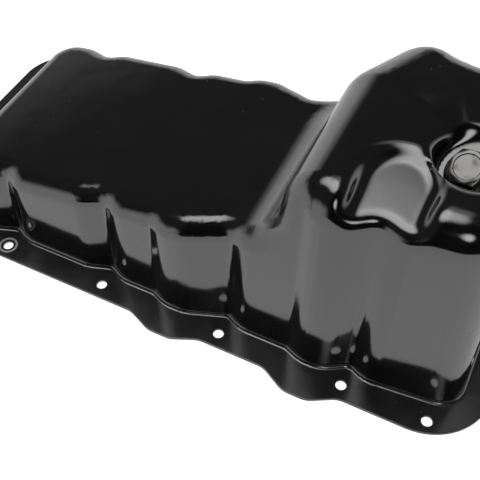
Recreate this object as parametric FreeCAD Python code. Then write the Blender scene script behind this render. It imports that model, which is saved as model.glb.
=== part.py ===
import FreeCAD, Part
import math
import os

# Pressed steel engine oil pan, millimetres, +Z up.
# The pan lies upside down as in the photograph: the gasket face is on z = 0 and the sump points up.
# The origin is the centre of the four corner bolts, on the gasket face. X runs along the pan toward
# the sump end, and -Y is the side that faces the viewer.

V = FreeCAD.Vector

# sheet and press radii
sheet = 1.6
cut_edge_round = 0.5
flange_bend = 3.0
floor_round = 13.0
crease_round = 30.0
sump_edge_round = 20.0
sump_round = 26.0

# bolt stations along each long rail, from the shallow end to the sump end
rail_bolts_x = [-186.5, -117.5, -41.0, 47.0, 131.5, 186.5]
rail_bolt_y = 93.0
bolt_hole_d = 7.0
left_end_bolt = V(-201.0, 38.0, 0.0)
right_end_bolt = V(209.0, 42.0, 0.0)

# flange outline
flange_left_x = -212.5
flange_right_x = 218.0
rail_margin = 9.5
flange_left_corner_r = 38.0
flange_right_corner_r = 42.0
lobe_round = 15.0

# walls at the gasket face, measured inward from the line of rail bolts
neck_gap = 15.5
side_gap = 10.0
bulge_gap = 5.5
neck_reach_before = 17.0
neck_reach_after = 11.0
bulge_half = 7.0
bulge_reach = 10.0
bulges = [(12.0, 7.5), (108.0, 9.5)]
valley_round = 8.0
shoulder_round = 24.0
far_inset = 11.0
far_sump_wall = [(90.0, 27.0), (121.0, 19.5), (142.5, 24.0)]
far_end_gap = 25.5
wall_left_x = -178.0
wall_right_x = 200.0
wall_left_corner_r = 30.0
wall_right_corner_r = 15.0

# lean of the walls from upright in degrees, and the two wall blocks that meet at a level stretch
near_lean = 2.4
far_lean = 9.0
far_sump_lean = 2.4
left_lean = 16.2
right_lean = 2.4
seam_x = -18.0
seam_overlap = 4.0
shallow_block_z = 86.0
shallow_block_corner_r = 14.0
sump_block_z = 165.0
sump_block_corner_r = 30.0

# floors
floor_left_z = 52.0
floor_slope_deg = 9.0
sump_floor_z = 147.0

# left wall of the sump, from the near side to the bevelled far corner
sump_left_x = 79.0
sump_left_lean = 9.0
bevel_start_y = 27.0
bevel_end = V(106.5, 78.0, 0.0)
bevel_round = 30.0
spare_round = 34.0


# rounding along the floor edges grows between these heights
blend_low_z = 118.0
blend_high_z = 146.0

# faces that meet at less than this many degrees are already a smooth join
smooth_join_deg = 12.0

# flange lobes beside the wall bulges
lobe_half = 25.0
lobe_ramp = 17.0

# scoops pressed into the sump floor: centre, depth at the centre, radius of the walls, tilt of the
# floor from level, heading it faces, and length of the channel open toward the near wall
access_scoop = {"x": 131.5, "y": -51.0, "depth": 7.2, "radius": 20.0, "tilt": 10.0, "heading": -90.0,
                "channel": 45.0, "foot_round": 3.0}
drain_scoop = {"x": 161.0, "y": -19.0, "depth": 14.5, "radius": 20.0, "tilt": 27.0, "heading": -107.0,
               "channel": 0.0, "foot_round": 4.0}
scoops = [access_scoop, drain_scoop]
scoop_rim_round = 7.0
scoop_rim_angle = 6.0
scoop_rim_run = 10.0
scoop_mouth_round = 6.0

# drain plug, its washer and the nut welded inside the pan
plug_thread_d = 14.0
thread_clearance = 0.3
plug_head_across = 19.0
plug_head_height = 9.0
plug_flange_d = 26.0
plug_flange_height = 2.6
plug_tip = 4.0
plug_chamfer = 1.2
crown_margin = 0.4
washer_d = 24.0
washer_height = 1.5
nut_across = 22.0
nut_height = 11.0

# how far a cutting solid runs past what it cuts, its reach in open space, and how near is touching
spare = 20.0
reach = 150.0
touch = 0.05


def rounded_wire(points, radii, z, inset=0.0):
    """Closed outline, counterclockwise, each corner rounded, the whole moved inward by the inset."""
    count = len(points)
    arcs = []
    ends = []
    for i in range(count):
        here = V(points[i].x, points[i].y, z)
        back = V(points[i - 1].x, points[i - 1].y, z)
        ahead = V(points[(i + 1) % count].x, points[(i + 1) % count].y, z)
        to_back = (back - here).normalize()
        to_ahead = (ahead - here).normalize()
        half = to_back.getAngle(to_ahead) / 2
        bisector = (to_back + to_ahead).normalize()
        turn = 1 if to_ahead.cross(to_back).z > 0 else -1
        corner = here + bisector * (turn * inset / math.sin(half))
        radius = radii[i] - turn * inset if radii[i] > 0 else 0.0
        start = corner + to_back * (radius / math.tan(half))
        end = corner + to_ahead * (radius / math.tan(half))
        ends.append((start, end))
        if radius > 0:
            middle = corner + bisector * (radius / math.sin(half) - radius)
            arcs.append(Part.Arc(start, middle, end).toShape())
        else:
            arcs.append(None)
    edges = []
    for i in range(count):
        if arcs[i]:
            edges.append(arcs[i])
        edges.append(Part.makeLine(ends[i][1], ends[(i + 1) % count][0]))
    return Part.Wire(edges)


def bulges_between(left, right):
    """Places of the wall bulges between two bolts."""
    return [x for x, _ in bulges if left < x < right]


def near_stations():
    """Corners of the near wall as (x, gap to the bolt line, radius), left to right."""
    points = []
    for before, here, after in zip(rail_bolts_x, rail_bolts_x[1:], rail_bolts_x[2:]):
        if not bulges_between(before, here):
            points.append((here - neck_reach_before, side_gap, shoulder_round))
        points.append((here, neck_gap, valley_round))
        points.append((here + neck_reach_after, side_gap, shoulder_round))
        for x in bulges_between(here, after):
            points.append((x - bulge_half - bulge_reach, side_gap, valley_round))
            points.append((x - bulge_half, bulge_gap, shoulder_round))
            points.append((x + bulge_half, bulge_gap, shoulder_round))
    return points


def far_stations():
    """Corners of the far wall: the near ones mirrored and set in, then the sump's own broad bulge."""
    shallow = [(x, gap + far_inset, r) for x, gap, r in near_stations() if x <= rail_bolts_x[3]]
    return shallow + [(x, gap, shoulder_round) for x, gap in far_sump_wall]


def lean_shift(degrees, z):
    """How far a leaning wall has moved in at a height."""
    return z * math.tan(math.radians(degrees))


def wall_point(x, side, gap, z):
    """Point of a long wall at a height; the far wall stands steeper along the sump."""
    lean = near_lean
    if side > 0:
        lean = far_lean if x <= rail_bolts_x[3] else far_sump_lean
    return V(x, side * (rail_bolt_y - gap - lean_shift(lean, z)), 0)


def chain(stations, side, z, left, right):
    """Corner points and radii of one long wall between two places, at one height."""
    inside = [(x, gap, r) for x, gap, r in stations if left < x < right]
    points = [wall_point(x, side, gap, z) for x, gap, r in inside]
    return points, [r for x, gap, r in inside]


def end_gap(stations, final_gap, x):
    """Gap between the long wall and the bolt line at the sump's end corner."""
    last_x, last_gap, _ = stations[-1]
    return last_gap + (x - last_x) * (final_gap - last_gap) / (wall_right_x - last_x)


def block_wire(z, inset, left, right, left_gaps, right_gaps, left_r, right_r):
    """Outline of one wall block at a height, from its near left corner counterclockwise."""
    near, near_r = chain(near_stations(), -1, z, left, right)
    far, far_r = chain(far_stations(), 1, z, left, right)
    points = [wall_point(left, -1, left_gaps[0], z)] + near + [wall_point(right, -1, right_gaps[0], z)]
    points += [wall_point(right, 1, right_gaps[1], z)] + far[::-1] + [wall_point(left, 1, left_gaps[1], z)]
    radii = [left_r] + near_r + [right_r, right_r] + far_r[::-1] + [left_r]
    return rounded_wire(points, radii, z, inset)


def shallow_block(inset):
    """Solid inside the walls of the shallow end."""
    gaps = (side_gap, side_gap + far_inset)
    right = seam_x + seam_overlap
    low = block_wire(0.0, inset, wall_left_x, right, gaps, gaps, wall_left_corner_r, 0.0)
    left = wall_left_x + lean_shift(left_lean, shallow_block_z)
    high = block_wire(shallow_block_z, inset, left, right, gaps, gaps, shallow_block_corner_r, 0.0)
    return Part.makeLoft([low, high], True, True)


def sump_block(inset):
    """Solid inside the walls from the seam to the sump end."""
    gaps = (side_gap, side_gap + far_inset)
    left = seam_x - seam_overlap
    wires = []
    for z, corner_r in ((0.0, wall_right_corner_r), (sump_block_z, sump_block_corner_r)):
        right = wall_right_x - lean_shift(right_lean, z)
        right_gaps = (end_gap(near_stations(), neck_gap, right), end_gap(far_stations(), far_end_gap, right))
        wires.append(block_wire(z, inset, left, right, gaps, right_gaps, 0.0, corner_r))
    return Part.makeLoft(wires, True, True)


def sump_wire(z, inset):
    """Outline of the sump block at one height; only its left side and bevel show."""
    lean = (sump_floor_z - z) * math.tan(math.radians(sump_left_lean))
    left = sump_left_x - lean
    far = bevel_end.y + 3 * spare
    slope = (bevel_end.x - sump_left_x) / (bevel_end.y - bevel_start_y)
    points = [
        V(left, -rail_bolt_y - 2 * spare, 0),
        V(wall_right_x + 2 * spare, -rail_bolt_y - 2 * spare, 0),
        V(wall_right_x + 2 * spare, far, 0),
        V(left + slope * (far - bevel_start_y), far, 0),
        V(left, bevel_start_y, 0),
    ]
    return rounded_wire(points, [spare_round] * 4 + [bevel_round], z, inset)


def floor_block(inset):
    """Everything under the two floors, wider than the walls, with the crease between them rounded."""
    wide = rail_bolt_y + spare
    slope = math.tan(math.radians(floor_slope_deg))
    left = flange_left_x
    right = wall_right_x + spare

    def floor_z(x):
        return floor_left_z + (x - wall_left_x) * slope - inset / math.cos(math.radians(floor_slope_deg))

    side = Part.makePolygon([
        V(left, -wide, -spare), V(right, -wide, -spare), V(right, -wide, floor_z(right)),
        V(left, -wide, floor_z(left)), V(left, -wide, -spare)])
    slab = Part.Face(side).extrude(V(0, 2 * wide, 0))
    low = sump_wire(spare, inset)
    high = sump_wire(sump_floor_z - inset, inset)
    column = Part.makeLoft([low, high], True, True)

    def on_crease(point):
        return point.x > 0.0 and abs(point.z - floor_z(point.x)) < touch and abs(point.y) < wide - touch

    def on_rim(point):
        return abs(point.z - high.BoundBox.ZMax) < touch and point.x < bevel_end.x

    rim = [edge for edge in column.Edges if on_rim(middle_of(edge))]
    column = column.makeFillet(sump_round - inset, rim)
    block = slab.fuse(column)
    crease = [edge for edge in block.Edges if on_crease(middle_of(edge))]
    return block.makeFillet(crease_round + inset, crease)


def spread_x(edge):
    """How far an edge runs along the pan."""
    return edge.valueAt(edge.LastParameter).x - edge.valueAt(edge.FirstParameter).x


def middle_of(edge):
    """Point half way along an edge."""
    return edge.valueAt((edge.FirstParameter + edge.LastParameter) / 2)


def sharp_edges(solid):
    """Edges above the gasket face where the two faces meet at a clear angle."""
    found = []
    for edge in solid.Edges:
        if edge.Degenerated or edge.BoundBox.ZMin < touch:
            continue
        spot = middle_of(edge)
        faces = solid.ancestorsOfType(edge, Part.Face)
        if len(faces) != 2:
            continue
        normals = [face.normalAt(*face.Surface.parameter(spot)) for face in faces]
        if normals[0].getAngle(normals[1]) > math.radians(smooth_join_deg):
            found.append(edge)
    return found


def rounded_edges(solid, edges, radius_at):
    """Solid with the edges rounded, each end of an edge taking its radius from its place."""
    doc = FreeCAD.newDocument("rounding")
    sharp = doc.addObject("Part::Feature", "sharp")
    sharp.Shape = solid
    rounded = doc.addObject("Part::Fillet", "rounded")
    rounded.Base = sharp
    chosen = []
    for number, edge in enumerate(solid.Edges, start=1):
        if any(edge.isSame(other) for other in edges):
            ends = [vertex.Point for vertex in edge.Vertexes]
            chosen.append((number, radius_at(ends[0]), radius_at(ends[-1])))
    rounded.Edges = chosen
    doc.recompute()
    result = rounded.Shape.copy()
    FreeCAD.closeDocument(doc.Name)
    return result


def scoop_normal(scoop):
    """Direction square to the floor of a scoop."""
    tilt = math.radians(scoop["tilt"])
    heading = math.radians(scoop["heading"])
    return V(math.sin(tilt) * math.cos(heading), math.sin(tilt) * math.sin(heading), math.cos(tilt))


def scoop_centre(scoop):
    """Middle of the floor of a scoop, on the outside of the sheet."""
    return V(scoop["x"], scoop["y"], sump_floor_z - scoop["depth"])


def scoop_profile(radius, rim_round, floor_z, side):
    """Half section of a scoop: upright wall, then a rounded rim that runs out over the floor."""
    angle = math.radians(scoop_rim_angle)
    rim_centre_z = floor_z - rim_round * math.cos(angle)

    def on_rim(turn):
        return V(side * (radius + rim_round - rim_round * math.cos(turn)), 0,
                 rim_centre_z + rim_round * math.sin(turn))

    top_turn = math.pi / 2 - angle
    rim_end = on_rim(top_turn)
    outer = rim_end + V(side * scoop_rim_run * math.cos(angle), 0, scoop_rim_run * math.sin(angle))
    low_z = floor_z - 3 * spare
    high_z = floor_z + spare
    edges = [
        Part.makeLine(V(0, 0, low_z), V(side * radius, 0, low_z)),
        Part.makeLine(V(side * radius, 0, low_z), on_rim(0.0)),
        Part.Arc(on_rim(0.0), on_rim(top_turn / 2), rim_end).toShape(),
        Part.makeLine(rim_end, outer),
        Part.makeLine(outer, V(outer.x, 0, high_z)),
        Part.makeLine(V(outer.x, 0, high_z), V(0, 0, high_z)),
        Part.makeLine(V(0, 0, high_z), V(0, 0, low_z)),
    ]
    return Part.Face(Part.Wire(edges))


def scoop_tool(scoop, inset):
    """Solid that is cut away to leave a scoop; its skin moves outward by the inset."""
    radius = scoop["radius"] + inset
    rim_round = scoop_rim_round - inset
    floor_z = sump_floor_z - inset
    tool = scoop_profile(radius, rim_round, floor_z, 1).revolve(V(0, 0, 0), V(0, 0, 1), 360)
    if scoop["channel"] > 0:
        for side in (1, -1):
            half = scoop_profile(radius, rim_round, floor_z, side)
            tool = tool.fuse(half.extrude(V(0, -scoop["channel"], 0)))
        tool = tool.removeSplitter()
    tilt = math.radians(scoop["tilt"])
    normal = V(0, -math.sin(tilt), math.cos(tilt))
    base = V(0, 0, sump_floor_z - scoop["depth"]) - normal * inset
    tool = tool.common(Part.makeCylinder(reach, reach, base, normal)).Solids[0]

    def on_foot(edge):
        spots = [middle_of(edge)] + [vertex.Point for vertex in edge.Vertexes]
        flat = all(abs((spot - base).dot(normal)) < touch for spot in spots)
        return flat and (scoop["channel"] == 0 or spots[0].y > touch - scoop["channel"])

    foot = [edge for edge in tool.Edges if on_foot(edge)]
    tool = tool.makeFillet(scoop["foot_round"] + inset, foot)
    tool.rotate(V(0, 0, 0), V(0, 0, 1), scoop["heading"] + 90.0)
    tool.translate(V(scoop["x"], scoop["y"], 0))
    return tool


def mouth_rounded(solid, scoop, inset):
    """The body with the edge rounded where the floor of an open scoop runs out over the near side."""
    normal = scoop_normal(scoop)
    base = scoop_centre(scoop) - normal * inset

    def on_mouth(edge):
        spots = [edge.valueAt(t) for t in (edge.FirstParameter, edge.LastParameter)] + [middle_of(edge)]
        flat = all(abs((spot - base).dot(normal)) < touch for spot in spots)
        return flat and all(spot.y < scoop["y"] - scoop["radius"] / 2 for spot in spots)

    edges = [edge for edge in solid.Edges if on_mouth(edge) and abs(spread_x(edge)) > scoop_mouth_round / 4]
    return solid.makeFillet(scoop_mouth_round - inset, edges)


def body(inset):
    """Solid body of the pan above the gasket face, its outer skin moved in by the inset."""
    walls = shallow_block(inset).fuse(sump_block(inset)).removeSplitter()
    solid = walls.common(floor_block(inset)).removeSplitter().Solids[0]

    def radius_at(point):
        rise = (point.z - blend_low_z) / (blend_high_z - blend_low_z)
        share = max(0.0, min(1.0, rise))
        return floor_round + share * (sump_edge_round - floor_round) - inset

    solid = rounded_edges(solid, sharp_edges(solid), radius_at)
    for scoop in scoops:
        solid = solid.cut(scoop_tool(scoop, inset)).Solids[0]
        if scoop["channel"] > 0:
            solid = mouth_rounded(solid, scoop, inset)
    return solid


def flange_wire(z):
    """Scalloped outline of the flange."""
    edge_y = rail_bolt_y + rail_margin
    near = []
    for x, extra in bulges:
        near.append((x - lobe_half, edge_y))
        near.append((x - lobe_half + lobe_ramp, edge_y + extra))
        near.append((x + lobe_half - lobe_ramp, edge_y + extra))
        near.append((x + lobe_half, edge_y))
    corners = [(flange_left_x, edge_y)] + near + [(flange_right_x, edge_y)]
    radii = [flange_left_corner_r] + [lobe_round] * len(near) + [flange_right_corner_r]
    points = [V(x, -y, 0) for x, y in corners] + [V(x, y, 0) for x, y in reversed(corners)]
    return rounded_wire(points, radii + radii[::-1], z)


def bolt_positions():
    """Centres of every bolt hole: both rails, then the two ends."""
    spots = [V(x, side * rail_bolt_y, 0) for x in rail_bolts_x for side in (-1, 1)]
    spots += [V(spot.x, side * spot.y, 0) for spot in (left_end_bolt, right_end_bolt) for side in (-1, 1)]
    return spots


def wall_foot(solid, z):
    """Edges where the wall meets one face of the flange."""
    found = []
    for edge in solid.Edges:
        if abs(edge.BoundBox.ZMin - z) > touch or abs(edge.BoundBox.ZMax - z) > touch:
            continue
        faces = solid.ancestorsOfType(edge, Part.Face)
        if any(face.BoundBox.ZMax > spare for face in faces):
            found.append(edge)
    return found


def pan_shell():
    """The one-piece pressing: flange, walls, floors and scoops in one sheet."""
    plate = Part.Face(flange_wire(0.0)).extrude(V(0, 0, sheet))
    outline = [edge for edge in plate.Edges if edge.BoundBox.ZMin > sheet / 2]
    plate = plate.makeFillet(cut_edge_round, outline)
    outer = body(0.0).fuse(plate).removeSplitter().Solids[0]
    outer = outer.makeFillet(flange_bend, wall_foot(outer, sheet))
    shell = outer.cut(body(sheet)).Solids[0]
    shell = shell.makeFillet(flange_bend + sheet, wall_foot(shell, 0.0))
    for spot in bolt_positions():
        shell = shell.cut(Part.makeCylinder(bolt_hole_d / 2, 3 * sheet, spot - V(0, 0, sheet)))
    normal = scoop_normal(drain_scoop)
    drain_hole_r = plug_thread_d / 2 + thread_clearance
    return shell.cut(Part.makeCylinder(drain_hole_r, 4 * sheet, scoop_centre(drain_scoop) - normal * 2 * sheet,
                                       normal))


def hexagon(across, height):
    """Hexagonal prism standing on the plane z = 0."""
    corner = across / math.sqrt(3)
    turns = [math.radians(60 * i) for i in range(7)]
    outline = Part.makePolygon([V(corner * math.cos(t), corner * math.sin(t), 0) for t in turns])
    return Part.Face(outline).extrude(V(0, 0, height))


def crowned_hexagon(across, height):
    """Hexagonal prism with the corners of its top turned off at 30 degrees."""
    crown_r = across / 2 - crown_margin
    foot_r = crown_r + height / math.tan(math.radians(30))
    return hexagon(across, height).common(Part.makeCone(foot_r, crown_r, height)).Solids[0]


def drain_seat(piece):
    """The piece, built upright about the origin, moved to the outside of the drain scoop floor."""
    normal = scoop_normal(drain_scoop)
    turn = FreeCAD.Rotation(V(0, 0, 1), normal)
    piece.Placement = FreeCAD.Placement(scoop_centre(drain_scoop), turn) * piece.Placement
    return piece


def drain_nut():
    """Nut welded to the inside of the drain scoop floor."""
    nut = hexagon(nut_across, nut_height)
    nut = nut.cut(Part.makeCylinder(plug_thread_d / 2 + thread_clearance, nut_height))
    nut.translate(V(0, 0, -sheet - nut_height))
    return drain_seat(nut)


def drain_washer():
    """Sealing washer between the plug flange and the pan."""
    washer = Part.makeCylinder(washer_d / 2, washer_height)
    return drain_seat(washer.cut(Part.makeCylinder(plug_thread_d / 2 + thread_clearance, washer_height)))


def drain_plug():
    """Hexagon flange screw that closes the drain."""
    shank_length = washer_height + sheet + nut_height + plug_tip
    shank = Part.makeCylinder(plug_thread_d / 2, shank_length, V(0, 0, washer_height - shank_length))
    tip = [edge for edge in shank.Edges if edge.BoundBox.ZMax < washer_height - shank_length + 0.01]
    shank = shank.makeChamfer(plug_chamfer, tip)
    flange = Part.makeCylinder(plug_flange_d / 2, plug_flange_height, V(0, 0, washer_height))
    head = crowned_hexagon(plug_head_across, plug_head_height)
    head.translate(V(0, 0, washer_height + plug_flange_height))
    return drain_seat(shank.fuse([flange, head]).removeSplitter())


def main():
    os.makedirs("parts", exist_ok=True)
    pieces = {
        "pan_shell": pan_shell(),
        "drain_nut": drain_nut(),
        "drain_plug_gasket": drain_washer(),
        "drain_plug": drain_plug(),
    }
    for name, shape in pieces.items():
        shape.exportStep("parts/" + name + ".step")


if __name__ == "__main__":
    main()
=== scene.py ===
"""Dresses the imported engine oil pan: a gloss black pressing and its drain plug, on a pale floor."""

import math

import bmesh
import bpy
import numpy
from bpy.props import FloatProperty, FloatVectorProperty, PointerProperty
from mathutils import Matrix, Vector


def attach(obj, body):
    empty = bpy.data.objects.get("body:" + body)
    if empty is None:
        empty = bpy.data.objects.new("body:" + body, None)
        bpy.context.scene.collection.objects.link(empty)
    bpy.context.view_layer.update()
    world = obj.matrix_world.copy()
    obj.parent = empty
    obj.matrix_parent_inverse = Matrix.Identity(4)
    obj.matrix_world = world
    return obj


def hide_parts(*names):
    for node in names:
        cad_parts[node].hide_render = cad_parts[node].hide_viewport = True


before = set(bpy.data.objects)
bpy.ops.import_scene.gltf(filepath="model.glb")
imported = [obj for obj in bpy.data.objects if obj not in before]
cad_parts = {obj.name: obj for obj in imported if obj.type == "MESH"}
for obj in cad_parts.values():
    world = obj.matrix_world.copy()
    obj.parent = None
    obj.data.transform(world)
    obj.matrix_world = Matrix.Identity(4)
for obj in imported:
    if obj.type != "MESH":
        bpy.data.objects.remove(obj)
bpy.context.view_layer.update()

bl_info = {
    "name": "Engine oil pan",
    "version": (1, 0, 0),
    "blender": (4, 5, 0),
    "location": "View3D > Sidebar > Oil Pan",
    "description": "Dresses the packed frame of an engine oil pan and sets its studio",
    "category": "Object",
}

MM = 0.001

# the drain seat: middle of its floor on the outside of the sheet, and the way it faces
SEAT_CENTRE = Vector((161.0, -19.0, 132.5)) * MM
SEAT_TILT = math.radians(27.0)
SEAT_HEADING = math.radians(-107.0)

# sheet and fastener sizes that repeat the frame's
SHEET = 1.6 * MM
NUT_HEIGHT = 11.0 * MM
WASHER_HEIGHT = 1.5 * MM

# how near points are merged or taken as on a cut, and the angle past which an edge stays sharp
WELD_DISTANCE = 0.001 * MM
CUT_DISTANCE = 0.0001 * MM
SMOOTH_ANGLE = math.radians(38.0)

# the plug's flange: rounded rim, the middle of that round as a share of it, and the cone on top
FLANGE_SOFT = 0.4 * MM
FLANGE_ROUND = 0.3
CONE_FALL = 1.0 * MM
CONE_STEP = 0.2 * MM

# the plug's head: softened uprights, corners turned off on a cone, and the dish in its top
HEAD_TURN = math.radians(30.0)
UPRIGHT_SOFT = 0.35 * MM
CROWN_CUT = 0.4 * MM
CROWN_SLOPE = math.radians(30.0)
CROWN_FACETS = 48
TOP_WEIGHT = 1e3
DISH_RIM = 1.6 * MM
DISH_DEPTH = 0.5 * MM
HEAD_SINK = 0.05 * MM

# the plug's thread: depth and the heights of one turn's four corners as shares of the pitch, the
# turns made past the shank's ends and cut off again, and its turned-down tip
THREAD_DEPTH = 0.61
THREAD_RISES = (0.0, 0.12, 0.47, 0.65)
THREAD_STEPS = 48
THREAD_SPARE = 3
THREAD_START = 2
THREAD_WELD = 0.01 * MM
SHANK_INSIDE = 0.5 * MM
TIP_TURNED = 0.4 * MM
TIP_TAPER = 2.0 * MM

# the box round the scoops, where the pressing is softest: its edges are divided to SOFT_EDGE, and
# its shading is the mean within SOFT_REACH, which fades in over SOFT_FADE from the box's sides;
# points that face down more than INNER_SIDE, and the round drain seat, keep their own shading
SOFT_LOW = Vector((98.0, -95.0, 106.0)) * MM
SOFT_HIGH = Vector((192.0, 8.0, 165.0)) * MM
SOFT_FADE = 8.0 * MM
SOFT_EDGE = 2.0 * MM
SOFT_REACH = 7.0 * MM
SOFT_PASSES = 8
INNER_SIDE = -0.2
SEAT_KEPT = 14.0 * MM
TINY = 1e-20

# the flange: its top, its cut edge, which carries a painted highlight (how high it reaches, and the
# upward facing at which a face is too flat for it or steep enough), and the heights at which the
# dusty film, lightened by a painted sheen, is none and full
FLANGE_TOP = 1.6 * MM
CUT_EDGE_TOP = 1.75 * MM
CUT_EDGE_FLAT = 0.9
CUT_EDGE_STEEP = 0.7
FILM_NONE = 2.4 * FLANGE_TOP
FILM_FULL = 1.2 * FLANGE_TOP

# the hole whose coating is rubbed off in a ring, on the near rail at the shallow end, and where
# the ring ends and is full as shares of its half width
RUBBED_HOLE = Vector((-117.5, -93.0, 1.6)) * MM
RUBBED_RADIUS = 6.0 * MM
RUBBED_WIDTH = 0.75 * MM
RUBBED_END = 1.15
RUBBED_FULL = 0.85
RAGGED_DEPTH = 0.4 * MM

# patterns in features a metre: ragged ring, specks of dust and their clusters, grain of smudges
# and film; the size of a speck in its cell, and the noise at which a smudge starts and is full
RAGGED_GRAIN = 900.0
SPECK_CELLS = 260.0
SPECK_CLUSTERS = 14.0
SPECK_SIZE = 0.085
SMUDGE_GRAIN = 420.0
SMUDGE_START = 0.45
SMUDGE_FULL = 0.75
FILM_GRAIN = 60.0

# what lies on the black coating, and painted light on it: its colour, and how much rougher it is
# than the clean coating
SMUDGE_COLOUR, SMUDGE_ROUGHER = (0.014, 0.0135, 0.013, 1.0), 0.06
DUST_COLOUR, DUST_ROUGHER = (0.22, 0.21, 0.20, 1.0), 0.5
BARE_COLOUR, BARE_ROUGHER = (0.72, 0.72, 0.73, 1.0), 0.25
# the flange's film is dust, and its lighter grey is partly a painted sheen
FILM_AND_SHEEN_COLOUR, FILM_ROUGHER = (0.058, 0.056, 0.057, 1.0), 0.12
# the cut edge's light grey is a painted highlight, standing in for the white floor's reflection
EDGE_HIGHLIGHT_COLOUR, EDGE_ROUGHER = (0.17, 0.17, 0.175, 1.0), 0.4
SMUDGE_SIZE = 35.0 * MM
DUST_HEIGHT = 0.05 * MM

# relief, spots and dull patches of the small metal parts
METAL_WAVE_SIZE = 4.0 * MM
METAL_WAVE_HEIGHT = 0.01 * MM
METAL_GRAIN_SIZE = 0.6 * MM
METAL_SMUDGE_SIZE = 6.0 * MM
METAL_SPOTS = 0.3
METAL_SPOT_COLOUR = (0.20, 0.19, 0.17, 1.0)
METAL_DULL_SHADE = 0.72
METAL_ROUGHER = 0.3

# the floor: how bright it is to the camera, in reflections and through glass, and its own grey
FLOOR_SEEN = 0.82
FLOOR_MIRRORED = 0.55
FLOOR_THROUGH = 0.60
FLOOR_GREY = 0.9

# brightness of the surroundings at heights from the horizon, 0, to straight above, 1
GLOW_STOPS = ((0.0, 1.0), (0.22, 0.9), (0.48, 0.045))

# the dark part of the surroundings on the camera's side: its turn from the camera, and the angles
# within which it is dark and past which it ends
DARK_TURN = math.radians(6.0)
DARK_INNER = math.radians(38.0)
DARK_OUTER = math.radians(62.0)

# the soft boxes: the way each lies, and the angles within which it is full and past which it ends
OVERHEAD_WAY = Vector((-0.22, 0.05, 0.97))
OVERHEAD_SPREAD = (math.radians(6.0), math.radians(24.0))
FRONT_TURN = math.radians(2.0)
FRONT_RISE = math.radians(44.0)
FRONT_SPREAD = (math.radians(3.0), math.radians(13.0))
FILL_WAY = Vector((-0.11, 0.36, 0.925))
FILL_SPREAD = (math.radians(5.0), math.radians(15.0))

# width of the camera's sensor in millimetres
SENSOR_WIDTH = 36.0

# kinds of node group socket, and the colour mix node's sockets: share, two colours and result
NUMBER = "NodeSocketFloat"
VECTOR = "NodeSocketVector"
MIX_INPUTS = (0, 6, 7)
MIX_RESULT = 2


class CoatingSettings(bpy.types.PropertyGroup):
    """Gloss black coating of the pressing."""

    colour: FloatVectorProperty(
        name="Colour", description="Colour of the black coating", subtype="COLOR", size=3,
        min=0.0, max=1.0, default=(0.0085, 0.0083, 0.0088))
    roughness: FloatProperty(
        name="Roughness", description="Roughness of the clean coating", subtype="FACTOR",
        min=0.0, max=1.0, default=0.10)
    gloss: FloatProperty(
        name="Gloss", description="Refractive index of the coating", min=1.0, max=3.0, default=2.0)
    ripple_size: FloatProperty(
        name="Ripple size", description="Length of the slow waves in the pressed sheet",
        unit="LENGTH", default=0.022)
    ripple_height: FloatProperty(
        name="Ripple height", description="Height of the slow waves in the pressed sheet",
        unit="LENGTH", precision=6, default=0.00011)
    peel_size: FloatProperty(
        name="Peel size", description="Length of the fine waves in the coating",
        unit="LENGTH", precision=6, default=0.0016)
    peel_height: FloatProperty(
        name="Peel height", description="Height of the fine waves in the coating",
        unit="LENGTH", precision=6, default=0.000003)
    dust: FloatProperty(
        name="Dust", description="How much of the surface carries dust specks", subtype="FACTOR",
        min=0.0, max=1.0, default=0.35)


class PlugSettings(bpy.types.PropertyGroup):
    """Sizes and colour of the drain plug, and colour of its washer."""

    thread_d: FloatProperty(
        name="Thread diameter", description="Outside diameter of the plug's thread", unit="LENGTH",
        default=0.014)
    pitch: FloatProperty(
        name="Pitch", description="Distance between two turns of the thread", unit="LENGTH",
        precision=5, default=0.0015)
    tip: FloatProperty(
        name="Tip", description="How far the plug stands out of its nut", unit="LENGTH",
        default=0.004)
    flange_d: FloatProperty(
        name="Flange diameter", description="Diameter of the flange under the head", unit="LENGTH",
        default=0.026)
    flange_height: FloatProperty(
        name="Flange height", description="Height of the flange under the head", unit="LENGTH",
        precision=5, default=0.0026)
    head_across: FloatProperty(
        name="Across flats", description="Width of the hexagon across its flats", unit="LENGTH",
        default=0.019)
    head_height: FloatProperty(
        name="Head height", description="Height of the hexagon", unit="LENGTH", default=0.009)
    zinc_colour: FloatVectorProperty(
        name="Zinc colour", description="Colour of the zinc plating", subtype="COLOR", size=3,
        min=0.0, max=1.0, default=(0.14, 0.138, 0.134))
    aluminium_colour: FloatVectorProperty(
        name="Aluminium colour", description="Colour of the sealing washer", subtype="COLOR",
        size=3, min=0.0, max=1.0, default=(0.18, 0.18, 0.182))


class StageSettings(bpy.types.PropertyGroup):
    """Camera, floor and soft boxes of light."""

    camera_azimuth: FloatProperty(
        name="Camera azimuth", description="Turn of the camera round the pan", subtype="ANGLE",
        default=math.radians(25.95))
    camera_elevation: FloatProperty(
        name="Camera elevation", description="Height of the camera above the horizon",
        subtype="ANGLE", default=math.radians(51.8))
    camera_distance: FloatProperty(
        name="Camera distance", description="Distance from the camera to the point it looks at",
        unit="LENGTH", default=0.568)
    camera_target: FloatVectorProperty(
        name="Camera target", description="Point that the camera looks at", subtype="TRANSLATION",
        size=3, default=(0.0255, -0.017, 0.0))
    lens: FloatProperty(
        name="Lens", description="Focal length in millimetres on a 36 mm sensor", default=60.45)
    floor_size: FloatProperty(
        name="Floor size", description="Side of the square floor", unit="LENGTH", default=3.0)
    overhead_strength: FloatProperty(
        name="Overhead strength", description="Brightness of the soft box above the pan",
        default=3.0)
    front_strength: FloatProperty(
        name="Front strength", description="Brightness of the soft box on the camera's side",
        default=3.4)
    fill_strength: FloatProperty(
        name="Fill strength", description="Brightness of the weak soft box behind the one above",
        default=0.65)


def add_node(tree, kind, label, **values):
    """New node with its label and properties set."""
    node = tree.nodes.new(kind)
    node.label = label
    for key, value in values.items():
        setattr(node, key, value)
    return node


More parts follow.
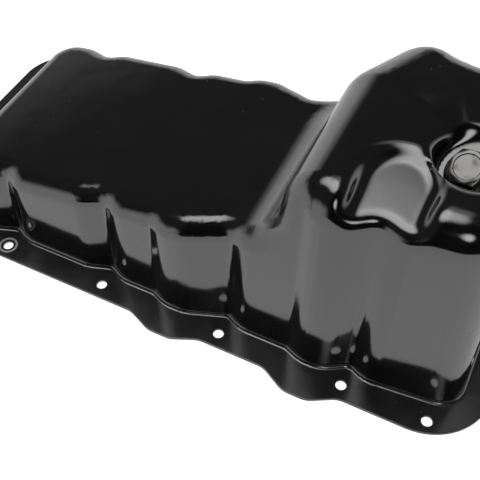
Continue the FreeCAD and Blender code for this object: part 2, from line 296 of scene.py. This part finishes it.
def feed(tree, socket, value):
    """Gives a socket a link or a plain value."""
    if isinstance(value, bpy.types.NodeSocket):
        tree.links.new(value, socket)
    else:
        socket.default_value = value


def calculate(tree, operation, first, second=0.0, clamp=False):
    """Output of a math node on two sockets or numbers."""
    node = add_node(tree, "ShaderNodeMath", operation.title(), operation=operation, use_clamp=clamp)
    feed(tree, node.inputs[0], first)
    feed(tree, node.inputs[1], second)
    return node.outputs[0]


def combine(tree, operation, label, first, second):
    """Vector math node on two sockets or vectors."""
    node = add_node(tree, "ShaderNodeVectorMath", label, operation=operation)
    feed(tree, node.inputs[0], first)
    feed(tree, node.inputs[1], second)
    return node


def remap(tree, value, from_low, from_high, to_low=0.0, to_high=1.0):
    """Output of a smooth map from one range to another."""
    node = add_node(tree, "ShaderNodeMapRange", "Remap", interpolation_type="SMOOTHSTEP")
    for socket, number in zip(node.inputs, (value, from_low, from_high, to_low, to_high)):
        feed(tree, socket, number)
    return node.outputs[0]


def noise(tree, vector, scale, detail):
    """Output of a noise texture, about 0 to 1."""
    node = add_node(tree, "ShaderNodeTexNoise", "Noise")
    feed(tree, node.inputs["Vector"], vector)
    feed(tree, node.inputs["Scale"], scale)
    node.inputs["Detail"].default_value = detail
    return node.outputs["Fac"]


def split(tree, kind, label, value):
    """Outputs of a node that takes a vector or a colour apart."""
    node = add_node(tree, kind, label)
    feed(tree, node.inputs[0], value)
    return node.outputs


def mix_colour(tree, share, first, second):
    """Output of a colour mix."""
    node = add_node(tree, "ShaderNodeMix", "Mix colour", data_type="RGBA")
    for number, value in zip(MIX_INPUTS, (share, first, second)):
        feed(tree, node.inputs[number], value)
    return node.outputs[MIX_RESULT]


def grey(value):
    """Opaque grey colour."""
    return (value, value, value, 1.0)


def node_group(name, inputs, output):
    """Empty shader node group with named sockets; returns its tree, its inputs and its result."""
    tree = bpy.data.node_groups.new(name, "ShaderNodeTree")
    for socket, kind in inputs:
        tree.interface.new_socket(socket, in_out="INPUT", socket_type=kind)
    tree.interface.new_socket(output, in_out="OUTPUT", socket_type=NUMBER)
    given = tree.nodes.new("NodeGroupInput")
    made = tree.nodes.new("NodeGroupOutput")
    return tree, given.outputs, made.inputs[output]


def waves_group():
    """Surface height in metres: slow waves of the pressed sheet and fine waves of its finish."""
    tree, given, made = node_group(
        "surface_waves",
        [("Vector", VECTOR), ("Slow Size", NUMBER), ("Slow Height", NUMBER),
         ("Fine Size", NUMBER), ("Fine Height", NUMBER)], "Height")
    heights = []
    for wave, detail in (("Slow", 1.0), ("Fine", 2.0)):
        scale = calculate(tree, "DIVIDE", 1.0, given[wave + " Size"])
        height = noise(tree, given["Vector"], scale, detail)
        heights.append(calculate(tree, "MULTIPLY", height, given[wave + " Height"]))
    feed(tree, made, calculate(tree, "ADD", *heights))
    return tree


def dust_group():
    """Mask of scattered specks of dust, most of them a few tenths of a millimetre across."""
    tree, given, made = node_group(
        "settled_dust", [("Vector", VECTOR), ("Amount", NUMBER)], "Mask")
    cells = add_node(tree, "ShaderNodeTexVoronoi", "Specks")
    feed(tree, cells.inputs["Vector"], given["Vector"])
    cells.inputs["Scale"].default_value = SPECK_CELLS
    pick = split(tree, "ShaderNodeSeparateColor", "Pick", cells.outputs["Color"])
    clusters = noise(tree, given["Vector"], SPECK_CLUSTERS, detail=3.0)
    chance = calculate(tree, "MULTIPLY", clusters, given["Amount"])
    chosen = calculate(tree, "LESS_THAN", pick[0], chance)
    size = calculate(tree, "MULTIPLY", pick[1], SPECK_SIZE)
    speck = calculate(tree, "LESS_THAN", cells.outputs["Distance"], size)
    feed(tree, made, calculate(tree, "MULTIPLY", chosen, speck))
    return tree


def smudge_group():
    """Slow patches where the finish is a little duller, and a finer breakup inside them."""
    tree, given, made = node_group(
        "handling_smudges", [("Vector", VECTOR), ("Size", NUMBER)], "Mask")
    scale = calculate(tree, "DIVIDE", 1.0, given["Size"])
    slow = noise(tree, given["Vector"], scale, detail=4.0)
    patches = remap(tree, slow, SMUDGE_START, SMUDGE_FULL)
    grain = noise(tree, given["Vector"], SMUDGE_GRAIN, detail=3.0)
    feed(tree, made, calculate(tree, "MULTIPLY", patches, grain, clamp=True))
    return tree


def ring_group():
    """Mask of a thin ring with a ragged edge, round a point and at a distance from it."""
    tree, given, made = node_group(
        "rubbed_ring",
        [("Vector", VECTOR), ("Centre", VECTOR), ("Radius", NUMBER), ("Width", NUMBER)], "Mask")
    away = combine(tree, "DISTANCE", "Away", given["Vector"], given["Centre"]).outputs["Value"]
    grain = noise(tree, given["Vector"], RAGGED_GRAIN, detail=3.0)
    ragged = calculate(tree, "ADD", away, calculate(tree, "MULTIPLY", grain, RAGGED_DEPTH))
    off = calculate(tree, "ABSOLUTE", calculate(tree, "SUBTRACT", ragged, given["Radius"]))
    share = calculate(tree, "DIVIDE", off, given["Width"])
    feed(tree, made, remap(tree, share, RUBBED_END, RUBBED_FULL))
    return tree


def use_group(tree, group, **values):
    """Result of a group that is placed in a material with its inputs fed."""
    node = add_node(tree, "ShaderNodeGroup", group.name, node_tree=group)
    for key, value in values.items():
        feed(tree, node.inputs[key.replace("_", " ").title()], value)
    return node.outputs[0]


def shared_groups():
    """The shader node groups, built once."""
    makers = {"surface_waves": waves_group, "settled_dust": dust_group,
              "handling_smudges": smudge_group, "rubbed_ring": ring_group}
    return {name: bpy.data.node_groups.get(name) or make() for name, make in makers.items()}


def new_material(name):
    """Material with its tree, its surface shader and its object coordinates."""
    material = bpy.data.materials.new(name)
    material.use_nodes = True
    tree = material.node_tree
    place = add_node(tree, "ShaderNodeTexCoord", "Place")
    return material, tree, tree.nodes["Principled BSDF"], place.outputs["Object"]


def add_bump(tree, shader, height):
    """Feeds a height in metres to the shader's normal."""
    bump = add_node(tree, "ShaderNodeBump", "Relief")
    bump.inputs["Distance"].default_value = 1.0
    feed(tree, bump.inputs["Height"], height)
    feed(tree, shader.inputs["Normal"], bump.outputs["Normal"])


def flange_highlight_and_sheen_masks(tree, place):
    """Masks of the flange's cut edge, which gets a painted highlight, and of its top, which gets a
    dusty film with painted sheen.
    """
    height = split(tree, "ShaderNodeSeparateXYZ", "Height", place)[2]
    shape = add_node(tree, "ShaderNodeNewGeometry", "Shape")
    upward = split(tree, "ShaderNodeSeparateXYZ", "Facing", shape.outputs["True Normal"])[2]
    upward = calculate(tree, "ABSOLUTE", upward)
    steep = remap(tree, upward, CUT_EDGE_FLAT, CUT_EDGE_STEEP)
    low = calculate(tree, "LESS_THAN", height, CUT_EDGE_TOP)
    top = remap(tree, height, FILM_NONE, FILM_FULL)
    return calculate(tree, "MULTIPLY", steep, low), top


def coating_material(settings):
    """Gloss black coating with slow waves, fine peel, dulled patches, dust, one rubbed ring, a flange
    film of dust and painted sheen, and a painted highlight on the cut edge.
    """
    material, tree, shader, place = new_material("black_coating")
    groups = shared_groups()
    waves = use_group(tree, groups["surface_waves"], vector=place,
                      slow_size=settings.ripple_size, slow_height=settings.ripple_height,
                      fine_size=settings.peel_size, fine_height=settings.peel_height)
    dust = use_group(tree, groups["settled_dust"], vector=place, amount=settings.dust)
    smudges = use_group(tree, groups["handling_smudges"], vector=place, size=SMUDGE_SIZE)
    ring = use_group(tree, groups["rubbed_ring"], vector=place, centre=RUBBED_HOLE,
                     radius=RUBBED_RADIUS, width=RUBBED_WIDTH)
    # the cut edge's mask carries a painted highlight
    edge, top = flange_highlight_and_sheen_masks(tree, place)
    # the flange's dusty film, lightened by a painted sheen
    film_and_sheen = calculate(tree, "MULTIPLY", top, noise(tree, place, FILM_GRAIN, detail=4.0))
    colour = (*settings.colour, 1.0)
    rough = settings.roughness
    for mask, over, rougher in (
            (smudges, SMUDGE_COLOUR, SMUDGE_ROUGHER), (dust, DUST_COLOUR, DUST_ROUGHER),
            (ring, BARE_COLOUR, BARE_ROUGHER), (film_and_sheen, FILM_AND_SHEEN_COLOUR, FILM_ROUGHER),
            (edge, EDGE_HIGHLIGHT_COLOUR, EDGE_ROUGHER)):
        colour = mix_colour(tree, mask, colour, over)
        added = calculate(tree, "MULTIPLY", mask, rougher)
        rough = calculate(tree, "ADD", rough, added, clamp=True)
    feed(tree, shader.inputs["Base Color"], colour)
    feed(tree, shader.inputs["Roughness"], rough)
    shader.inputs["IOR"].default_value = settings.gloss
    lifted = calculate(tree, "MULTIPLY", dust, DUST_HEIGHT)
    add_bump(tree, shader, calculate(tree, "ADD", waves, lifted))
    return material


def metal_material(name, colour, roughness, fine_height):
    """Plain metal with uneven dullness, spots and fine relief."""
    material, tree, shader, place = new_material(name)
    groups = shared_groups()
    waves = use_group(tree, groups["surface_waves"], vector=place,
                      slow_size=METAL_WAVE_SIZE, slow_height=METAL_WAVE_HEIGHT,
                      fine_size=METAL_GRAIN_SIZE, fine_height=fine_height)
    smudges = use_group(tree, groups["handling_smudges"], vector=place, size=METAL_SMUDGE_SIZE)
    dust = use_group(tree, groups["settled_dust"], vector=place, amount=METAL_SPOTS)
    bright = (*colour, 1.0)
    dull = tuple(METAL_DULL_SHADE * part for part in colour) + (1.0,)
    shade = mix_colour(tree, smudges, bright, dull)
    shade = mix_colour(tree, dust, shade, METAL_SPOT_COLOUR)
    feed(tree, shader.inputs["Base Color"], shade)
    shader.inputs["Metallic"].default_value = 1.0
    added = calculate(tree, "MULTIPLY", smudges, METAL_ROUGHER)
    feed(tree, shader.inputs["Roughness"], calculate(tree, "ADD", roughness, added, clamp=True))
    add_bump(tree, shader, waves)
    return material


def place_mesh(shape, name, material):
    """Object at the origin from a bmesh, smooth apart from its sharp edges."""
    mesh = bpy.data.meshes.new(name)
    shape.to_mesh(mesh)
    shape.free()
    mesh.shade_smooth()
    mesh.set_sharp_from_angle(angle=SMOOTH_ANGLE)
    mesh.materials.append(material)
    piece = bpy.data.objects.new(name, mesh)
    bpy.context.collection.objects.link(piece)
    weighted = piece.modifiers.new("even_shading", "WEIGHTED_NORMAL")
    weighted.keep_sharp = True
    return piece


def welded_copy(node):
    """Bmesh of a CAD node with its loose triangles joined."""
    shape = bmesh.new()
    shape.from_mesh(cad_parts[node].data)
    bmesh.ops.remove_doubles(shape, verts=shape.verts, dist=WELD_DISTANCE)
    return shape


def near_scoops(point):
    """Whether a point lies in the box round the scoops."""
    return all(SOFT_LOW[axis] < point[axis] < SOFT_HIGH[axis] for axis in range(3))


def divide_edges(shape):
    """Divides the long edges round the scoops, so that the shading can change in small steps."""
    for _ in range(SOFT_PASSES):
        long_edges = [edge for edge in shape.edges if edge.calc_length() > SOFT_EDGE
                      and near_scoops((edge.verts[0].co + edge.verts[1].co) / 2)]
        if not long_edges:
            break
        bmesh.ops.subdivide_edges(shape, edges=long_edges, cuts=1)
        bmesh.ops.triangulate(shape, faces=[face for face in shape.faces if len(face.verts) > 3])


def eased_shares(points):
    """How far each point is eased: all of it in the box, none at its sides or on the drain seat."""
    low, high, seat = map(numpy.array, (SOFT_LOW, SOFT_HIGH, SEAT_CENTRE))
    room = numpy.minimum(points - low, high - points).min(axis=1)
    beside_seat = numpy.linalg.norm(points - seat, axis=1) - SEAT_KEPT
    share = numpy.clip(numpy.minimum(room, beside_seat) / SOFT_FADE, 0.0, 1.0)
    return share * share * (3.0 - 2.0 * share)


def read_array(items, key, kind=numpy.float32, width=3):
    """Values of one property of many mesh items."""
    values = numpy.empty(len(items) * width, kind)
    items.foreach_get(key, values)
    return values.reshape(-1, width)


def sorted_cells(points):
    """Numbers of the points in each cube of space as wide as the eased reach."""
    cubes = numpy.floor(points / SOFT_REACH).astype(int)
    cells = {}
    for number, cube in enumerate(map(tuple, cubes)):
        cells.setdefault(cube, []).append(number)
    return cells


def eased_normals(mesh, numbers):
    """Mean facing of the faces within the eased reach of each vertex, on its side of the sheet."""
    centres = read_array(mesh.polygons, "center")
    keep = ((centres > numpy.array(SOFT_LOW)) & (centres < numpy.array(SOFT_HIGH))).all(axis=1)
    centres = centres[keep]
    facings = read_array(mesh.polygons, "normal")[keep]
    areas = read_array(mesh.polygons, "area", width=1)[keep, 0]
    points = read_array(mesh.vertices, "co")[numbers]
    normals = read_array(mesh.vertices, "normal")[numbers]
    steps = [(x, y, z) for x in (-1, 0, 1) for y in (-1, 0, 1) for z in (-1, 0, 1)]
    faces_in = sorted_cells(centres)
    for cube, members in sorted_cells(points).items():
        around = [faces_in.get(tuple(a + b for a, b in zip(cube, step)), ()) for step in steps]
        around = numpy.array([face for cell in around for face in cell], int)
        if not len(around):
            continue
        gap = points[members][:, None, :] - centres[around][None, :, :]
        fall = 1.0 - (gap * gap).sum(axis=2) / SOFT_REACH ** 2
        side = normals[members] @ facings[around].T
        weight = numpy.where((fall > 0.0) & (side > 0.0), fall * areas[around], 0.0)
        mean = weight @ facings[around]
        length = numpy.linalg.norm(mean, axis=1, keepdims=True)
        normals[members] = numpy.where(length > 0.0, mean / numpy.maximum(length, TINY),
                                       normals[members])
    return normals


def ease_shading(piece):
    """Blends the shading of the pressing over a few millimetres round its scoops."""
    finished = piece.evaluated_get(bpy.context.evaluated_depsgraph_get())
    corners = read_array(finished.to_mesh().corner_normals, "vector")
    finished.to_mesh_clear()
    piece.modifiers.clear()
    mesh = piece.data
    shares = eased_shares(read_array(mesh.vertices, "co"))
    shares[read_array(mesh.vertices, "normal")[:, 2] <= INNER_SIDE] = 0.0
    numbers = numpy.nonzero(shares > 0.0)[0]
    eased = numpy.zeros((len(mesh.vertices), 3), numpy.float32)
    eased[numbers] = eased_normals(mesh, numbers)
    owners = read_array(mesh.loops, "vertex_index", numpy.int32, width=1)[:, 0]
    share = shares[owners][:, None]
    corners = corners * (1.0 - share) + eased[owners] * share
    corners /= numpy.linalg.norm(corners, axis=1, keepdims=True)
    mesh.normals_split_custom_set(corners.tolist())


def hand_in(piece, node):
    """Hangs a finished piece on the root body and hides the CAD node that it stands for."""
    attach(piece, "root")
    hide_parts(node)


def seat_matrix():
    """Turns a piece built upright about the origin to the drain seat."""
    facing = Vector((math.sin(SEAT_TILT) * math.cos(SEAT_HEADING),
                     math.sin(SEAT_TILT) * math.sin(SEAT_HEADING), math.cos(SEAT_TILT)))
    turn = Vector((0.0, 0.0, 1.0)).rotation_difference(facing)
    return Matrix.Translation(SEAT_CENTRE) @ turn.to_matrix().to_4x4()


def spun(profile, steps=64):
    """Closed solid of revolution about Z, as a bmesh; its profile starts and ends on the axis."""
    shape = bmesh.new()
    corners = [shape.verts.new((x, 0.0, z)) for x, z in profile]
    edges = [shape.edges.new(pair) for pair in zip(corners, corners[1:])]
    bmesh.ops.spin(shape, geom=corners + edges, cent=(0, 0, 0), axis=(0, 0, 1),
                   angle=math.tau, steps=steps, use_merge=True)
    bmesh.ops.remove_doubles(shape, verts=shape.verts, dist=WELD_DISTANCE)
    bmesh.ops.recalc_face_normals(shape, faces=shape.faces)
    return shape


def cut_off(shape, point, facing):
    """Removes what lies past a plane, and returns what was cut."""
    return bmesh.ops.bisect_plane(
        shape, geom=shape.verts[:] + shape.edges[:] + shape.faces[:], dist=CUT_DISTANCE,
        plane_co=point, plane_no=facing, clear_outer=True)["geom_cut"]


def joined(parts):
    """One bmesh from several."""
    whole = bmesh.new()
    for part in parts:
        spare = bpy.data.meshes.new("spare")
        part.to_mesh(spare)
        part.free()
        whole.from_mesh(spare)
        bpy.data.meshes.remove(spare)
    return whole


def plug_flange(settings):
    """Washer face and flange of the plug, with a rounded rim and a shallow cone on top."""
    low = WASHER_HEIGHT
    high = low + settings.flange_height
    radius = settings.flange_d / 2
    head = settings.head_across / 2
    soft = FLANGE_SOFT
    inset = FLANGE_ROUND * soft
    rim = high - CONE_FALL
    return spun([(0, low), (radius - soft, low), (radius - inset, low + inset),
                 (radius, low + soft), (radius, rim - soft), (radius - inset, rim - inset),
                 (radius - soft, rim), (head + soft, high - CONE_STEP), (head - soft, high),
                 (0, high)])


def plug_head(settings):
    """Hexagon with softened edges, its top corners turned off at 30 degrees and a shallow dish."""
    height = settings.head_height
    corner = settings.head_across / math.sqrt(3)
    shape = bmesh.new()
    bmesh.ops.create_cone(shape, cap_ends=True, segments=6, radius1=corner, radius2=corner,
                          depth=height)
    bmesh.ops.translate(shape, verts=shape.verts, vec=(0, 0, height / 2))
    bmesh.ops.rotate(shape, verts=shape.verts, cent=(0, 0, 0),
                     matrix=Matrix.Rotation(HEAD_TURN, 3, "Z"))
    uprights = [edge for edge in shape.edges
                if abs(edge.verts[0].co.z - edge.verts[1].co.z) > height / 2]
    bmesh.ops.bevel(shape, geom=uprights, offset=UPRIGHT_SOFT, segments=2, profile=0.5,
                    affect="EDGES", material=-1)
    crown = Vector((settings.head_across / 2 - CROWN_CUT, 0.0, height))
    slope = Vector((math.sin(CROWN_SLOPE), 0.0, math.cos(CROWN_SLOPE)))
    for number in range(CROWN_FACETS):
        turn = Matrix.Rotation(math.tau * number / CROWN_FACETS, 3, "Z")
        cut = cut_off(shape, turn @ crown, turn @ slope)
        rim = [item for item in cut if isinstance(item, bmesh.types.BMEdge)]
        if rim:
            bmesh.ops.holes_fill(shape, edges=rim, sides=0)
    top = max(shape.faces,
              key=lambda face: face.calc_center_median().z * TOP_WEIGHT + face.calc_area())
    bmesh.ops.inset_individual(shape, faces=[top], thickness=DISH_RIM)
    bmesh.ops.inset_individual(shape, faces=[top], thickness=DISH_DEPTH, depth=-DISH_DEPTH)
    bmesh.ops.translate(shape, verts=shape.verts,
                        vec=(0, 0, WASHER_HEIGHT + settings.flange_height - HEAD_SINK))
    bmesh.ops.recalc_face_normals(shape, faces=shape.faces)
    return shape


def plug_thread(settings):
    """Threaded shank with a turned-down tip."""
    pitch = settings.pitch
    crest = settings.thread_d / 2
    root = crest - THREAD_DEPTH * pitch
    bottom = -(SHEET + NUT_HEIGHT + settings.tip)
    top = WASHER_HEIGHT + SHANK_INSIDE
    shape = bmesh.new()
    profile = []
    for number in range(int((top - bottom) / pitch) + THREAD_SPARE):
        low = bottom - THREAD_START * pitch + number * pitch
        for radius, rise in zip((root, root, crest, crest), THREAD_RISES):
            profile.append(shape.verts.new((radius, 0.0, low + rise * pitch)))
    edges = [shape.edges.new(pair) for pair in zip(profile, profile[1:])]
    bmesh.ops.spin(shape, geom=profile + edges, cent=(0, 0, 0), axis=(0, 0, 1),
                   dvec=(0, 0, pitch / THREAD_STEPS), angle=math.tau, steps=THREAD_STEPS,
                   use_merge=False)
    bmesh.ops.remove_doubles(shape, verts=shape.verts, dist=THREAD_WELD)
    for height, facing in ((bottom, -1.0), (top, 1.0)):
        cut_off(shape, (0, 0, height), (0, 0, facing))
    bmesh.ops.holes_fill(shape, edges=[edge for edge in shape.edges if edge.is_boundary], sides=0)
    tip = root - TIP_TURNED
    for vertex in shape.verts:
        rise = max(vertex.co.z - bottom, 0.0)
        limit = tip + rise * (crest - tip) / TIP_TAPER
        reach = math.hypot(vertex.co.x, vertex.co.y)
        if reach > limit:
            vertex.co.x *= limit / reach
            vertex.co.y *= limit / reach
    bmesh.ops.recalc_face_normals(shape, faces=shape.faces)
    return shape


class OILPAN_OT_pressing(bpy.types.Operator):
    """Joins the facets of the pressed shell, softens its shading and coats it gloss black"""

    bl_idname = "oil_pan.pressing"
    bl_label = "Pressed Shell"

    def execute(self, context):
        material = coating_material(context.scene.oil_pan_coating)
        shape = welded_copy("pan_shell")
        divide_edges(shape)
        piece = place_mesh(shape, "pan_pressing", material)
        ease_shading(piece)
        hand_in(piece, "pan_shell")
        return {"FINISHED"}


class OILPAN_OT_weld_nut(bpy.types.Operator):
    """Copies the drain nut, which is welded in before coating, and gives it the pan's coating"""

    bl_idname = "oil_pan.weld_nut"
    bl_label = "Drain Nut"

    def execute(self, context):
        material = bpy.data.materials["black_coating"]
        piece = place_mesh(welded_copy("drain_nut"), "drain_weld_nut", material)
        hand_in(piece, "drain_nut")
        return {"FINISHED"}


class OILPAN_OT_washer(bpy.types.Operator):
    """Copies the sealing washer under the plug and gives it its soft aluminium"""

    bl_idname = "oil_pan.washer"
    bl_label = "Sealing Washer"

    def execute(self, context):
        settings = context.scene.oil_pan_plug
        material = metal_material("soft_aluminium", settings.aluminium_colour,
                                  roughness=0.32, fine_height=0.004 * MM)
        piece = place_mesh(welded_copy("drain_plug_gasket"), "drain_sealing_washer", material)
        hand_in(piece, "drain_plug_gasket")
        return {"FINISHED"}


class OILPAN_OT_plug(bpy.types.Operator):
    """Makes the drain plug: hexagon head, flange and threaded shank"""

    bl_idname = "oil_pan.plug"
    bl_label = "Drain Plug"

    def execute(self, context):
        settings = context.scene.oil_pan_plug
        material = metal_material("zinc_plating", settings.zinc_colour,
                                  roughness=0.24, fine_height=0.003 * MM)
        shape = joined([plug_thread(settings), plug_flange(settings), plug_head(settings)])
        shape.transform(seat_matrix())
        piece = place_mesh(shape, "drain_screw", material)
        hand_in(piece, "drain_plug")
        return {"FINISHED"}


def floor_material():
    """Pale floor that still shows the object's shadow."""
    material = bpy.data.materials.new("pale_floor")
    material.use_nodes = True
    tree = material.node_tree
    tree.nodes.clear()
    path = add_node(tree, "ShaderNodeLightPath", "Rays")
    seen = calculate(tree, "MULTIPLY", path.outputs["Is Camera Ray"], FLOOR_SEEN)
    mirrored = calculate(tree, "MULTIPLY", path.outputs["Is Glossy Ray"], FLOOR_MIRRORED)
    through = calculate(tree, "MULTIPLY", path.outputs["Is Transmission Ray"], FLOOR_THROUGH)
    glow = add_node(tree, "ShaderNodeEmission", "White")
    strength = calculate(tree, "ADD", calculate(tree, "ADD", seen, mirrored), through)
    feed(tree, glow.inputs["Strength"], strength)
    matt = add_node(tree, "ShaderNodeBsdfDiffuse", "Matt")
    matt.inputs["Color"].default_value = grey(FLOOR_GREY)
    both = add_node(tree, "ShaderNodeAddShader", "Both")
    feed(tree, both.inputs[0], glow.outputs[0])
    feed(tree, both.inputs[1], matt.outputs[0])
    out = add_node(tree, "ShaderNodeOutputMaterial", "Out")
    feed(tree, out.inputs[0], both.outputs[0])
    return material


def way_back(azimuth, elevation):
    """Direction from the pan toward a place at an azimuth and elevation."""
    flat = math.cos(elevation)
    return Vector((math.sin(azimuth) * flat, -math.cos(azimuth) * flat, math.sin(elevation)))


def horizon_glow(tree, way):
    """Strength of the surroundings by height: bright near the horizon, dim above."""
    height = split(tree, "ShaderNodeSeparateXYZ", "Height", way)[2]
    ramp = add_node(tree, "ShaderNodeValToRGB", "Horizon to top")
    feed(tree, ramp.inputs[0], height)
    stops = ramp.color_ramp.elements
    stops.new(GLOW_STOPS[1][0])
    for stop, (position, value) in zip(stops, GLOW_STOPS):
        stop.position = position
        stop.color = grey(value)
    return split(tree, "ShaderNodeSeparateColor", "Grey", ramp.outputs[0])[0]


def beside_camera(tree, way, azimuth):
    """Share of the glow that is kept: none on the camera's side, all of it on the other sides."""
    level = combine(tree, "MULTIPLY", "Level", way, (1.0, 1.0, 0.0))
    turned = add_node(tree, "ShaderNodeVectorMath", "Turned", operation="NORMALIZE")
    feed(tree, turned.inputs[0], level.outputs[0])
    front = way_back(azimuth + DARK_TURN, 0.0)
    side = combine(tree, "DOT_PRODUCT", "Camera side", turned.outputs[0], front)
    return remap(tree, side.outputs["Value"], math.cos(DARK_OUTER), math.cos(DARK_INNER), 1.0, 0.0)


def soft_patch(tree, way, centre, spread, strength):
    """Strength of a round light patch, full within one angle of its centre, none past a wider."""
    facing = combine(tree, "DOT_PRODUCT", "Facing", way, centre.normalized())
    full, end = spread
    return remap(tree, facing.outputs["Value"], math.cos(end), math.cos(full), 0.0, strength)


def soft_boxes(settings):
    """Each soft box as its direction, its spread and its strength."""
    front = way_back(settings.camera_azimuth + FRONT_TURN, FRONT_RISE)
    return ((OVERHEAD_WAY, OVERHEAD_SPREAD, settings.overhead_strength),
            (front, FRONT_SPREAD, settings.front_strength),
            (FILL_WAY, FILL_SPREAD, settings.fill_strength))


def studio_world(settings):
    """Surroundings with a glow at the horizon and soft boxes; the camera sees plain white."""
    world = bpy.data.worlds.new("studio")
    bpy.context.scene.world = world
    world.use_nodes = True
    tree = world.node_tree
    tree.nodes.clear()
    way = add_node(tree, "ShaderNodeTexCoord", "Direction").outputs["Generated"]
    strength = calculate(tree, "MULTIPLY", horizon_glow(tree, way),
                         beside_camera(tree, way, settings.camera_azimuth))
    for box in soft_boxes(settings):
        strength = calculate(tree, "ADD", strength, soft_patch(tree, way, *box))
    around = add_node(tree, "ShaderNodeBackground", "Around")
    feed(tree, around.inputs["Strength"], strength)
    behind = add_node(tree, "ShaderNodeBackground", "Behind")
    for shader in (around, behind):
        shader.inputs["Color"].default_value = grey(1.0)
    path = add_node(tree, "ShaderNodeLightPath", "Rays")
    choose = add_node(tree, "ShaderNodeMixShader", "Choose")
    feed(tree, choose.inputs[0], path.outputs["Is Camera Ray"])
    feed(tree, choose.inputs[1], around.outputs[0])
    feed(tree, choose.inputs[2], behind.outputs[0])
    out = add_node(tree, "ShaderNodeOutputWorld", "Out")
    feed(tree, out.inputs[0], choose.outputs[0])


def add_camera(settings):
    """Camera at the photograph's place."""
    back = way_back(settings.camera_azimuth, settings.camera_elevation)
    camera = bpy.data.cameras.new("camera")
    camera.lens = settings.lens
    camera.sensor_width = SENSOR_WIDTH
    holder = bpy.data.objects.new("camera", camera)
    bpy.context.collection.objects.link(holder)
    holder.location = Vector(settings.camera_target) + back * settings.camera_distance
    holder.rotation_euler = back.to_track_quat("Z", "Y").to_euler()
    bpy.context.scene.camera = holder


class OILPAN_OT_stage(bpy.types.Operator):
    """Makes the floor, the surroundings with their soft boxes of light, and the camera"""

    bl_idname = "oil_pan.stage"
    bl_label = "Studio"

    def execute(self, context):
        settings = context.scene.oil_pan_stage
        shape = bmesh.new()
        bmesh.ops.create_grid(shape, x_segments=1, y_segments=1, size=settings.floor_size / 2)
        mesh = bpy.data.meshes.new("floor")
        shape.to_mesh(mesh)
        shape.free()
        mesh.materials.append(floor_material())
        floor = bpy.data.objects.new("floor", mesh)
        context.collection.objects.link(floor)
        studio_world(settings)
        add_camera(settings)
        context.scene.view_settings.view_transform = "Standard"
        return {"FINISHED"}


class OILPAN_PT_panel(bpy.types.Panel):
    """Lists the pieces and their settings"""

    bl_idname = "OILPAN_PT_panel"
    bl_label = "Oil Pan"
    bl_space_type = "VIEW_3D"
    bl_region_type = "UI"
    bl_category = "Oil Pan"

    def draw(self, context):
        for operator in OPERATORS:
            self.layout.operator(operator.bl_idname)
        for name in SETTINGS:
            settings = getattr(context.scene, name)
            box = self.layout.box()
            for key in settings.__annotations__:
                box.prop(settings, key)


OPERATORS = (OILPAN_OT_pressing, OILPAN_OT_weld_nut, OILPAN_OT_washer, OILPAN_OT_plug,
             OILPAN_OT_stage)
SETTINGS = {"oil_pan_coating": CoatingSettings, "oil_pan_plug": PlugSettings,
            "oil_pan_stage": StageSettings}


def register():
    """Registers the settings, the operators and the panel."""
    for cls in (*SETTINGS.values(), *OPERATORS, OILPAN_PT_panel):
        bpy.utils.register_class(cls)
    for name, cls in SETTINGS.items():
        setattr(bpy.types.Scene, name, PointerProperty(type=cls))


def unregister():
    """Takes everything out again."""
    for name in SETTINGS:
        delattr(bpy.types.Scene, name)
    for cls in (OILPAN_PT_panel, *reversed(OPERATORS), *reversed(SETTINGS.values())):
        bpy.utils.unregister_class(cls)


def main():
    """Builds every piece and the stage."""
    register()
    bpy.ops.oil_pan.pressing()
    bpy.ops.oil_pan.weld_nut()
    bpy.ops.oil_pan.washer()
    bpy.ops.oil_pan.plug()
    bpy.ops.oil_pan.stage()


if __name__ == "__main__":
    main()
